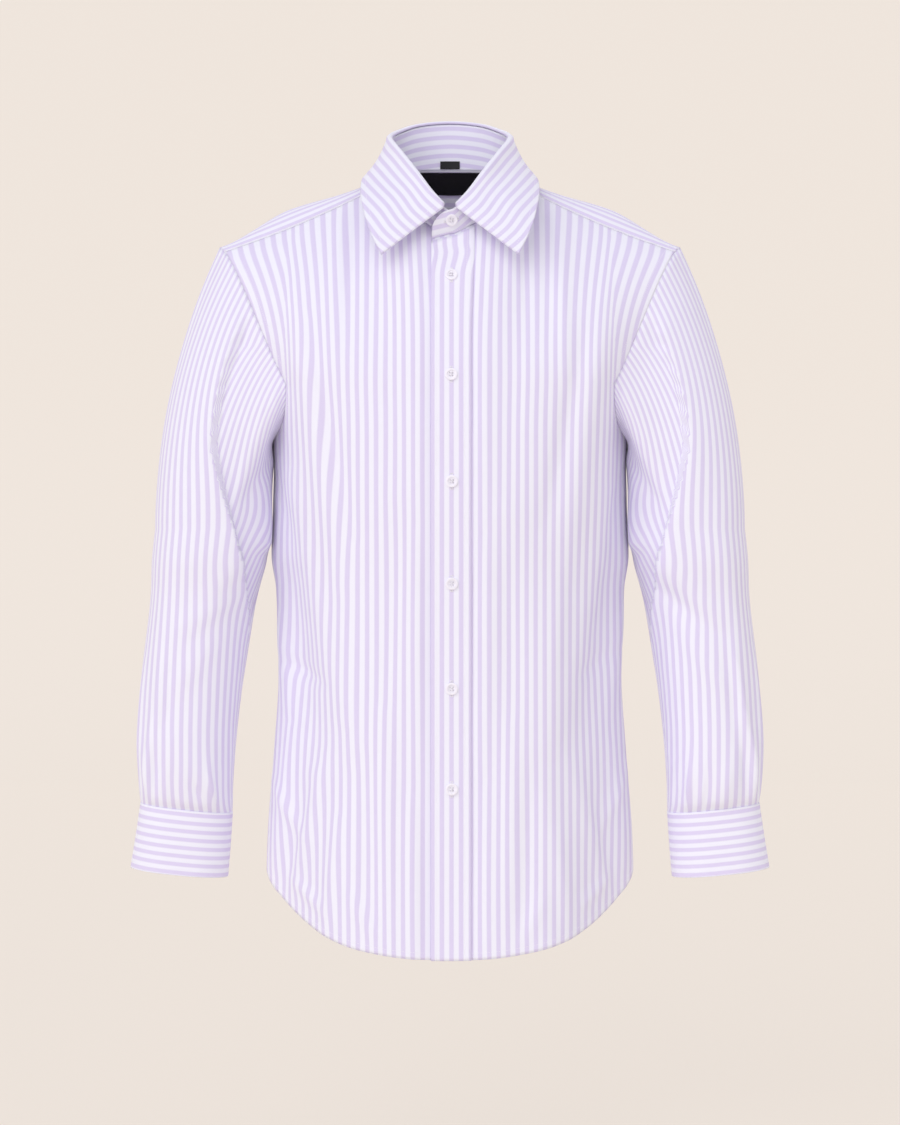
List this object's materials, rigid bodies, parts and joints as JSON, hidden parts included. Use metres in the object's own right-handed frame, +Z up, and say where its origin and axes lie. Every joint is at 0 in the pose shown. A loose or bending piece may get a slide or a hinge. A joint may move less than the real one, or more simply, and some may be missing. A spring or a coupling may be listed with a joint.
{
  "type": "long sleeve dress shirt",
  "caption": "A long sleeve dress shirt in lilac and white bengal stripe, worn and buttoned with no wearer, with a spread collar, curved hem and barrel cuffs.",
  "frame": {"origin": "the middle of the neck, at the height of the highest point of the shoulders", "axes": "+Z up, +X to the wearer's left, -Y to the front"},
  "size_m": [0.6208, 0.2509, 0.8395],
  "materials": {
    "striped_cotton": "plain weave, lilac and white stripe",
    "button_resin": "satin, four-hole",
    "label_satin": "satin, blank"
  },
  "bodies": {
    "root": {"front_left": "striped_cotton", "front_right": "striped_cotton", "placket": "striped_cotton", "back": "striped_cotton", "yoke": "striped_cotton", "collar_stand": "striped_cotton", "collar_leaf": "striped_cotton", "sleeve_left": "striped_cotton", "sleeve_right": "striped_cotton", "sleeve_placket_left": "striped_cotton", "sleeve_placket_right": "striped_cotton", "cuff_left": "striped_cotton", "cuff_right": "striped_cotton", "neck_label": "label_satin", "size_tab": "label_satin", "button_collar": "button_resin", "button_front_1": "button_resin", "button_front_2": "button_resin", "button_front_3": "button_resin", "button_front_4": "button_resin", "button_front_5": "button_resin", "button_front_6": "button_resin", "button_cuff_left": "button_resin", "button_cuff_right": "button_resin"}
  },
  "joints": []
}
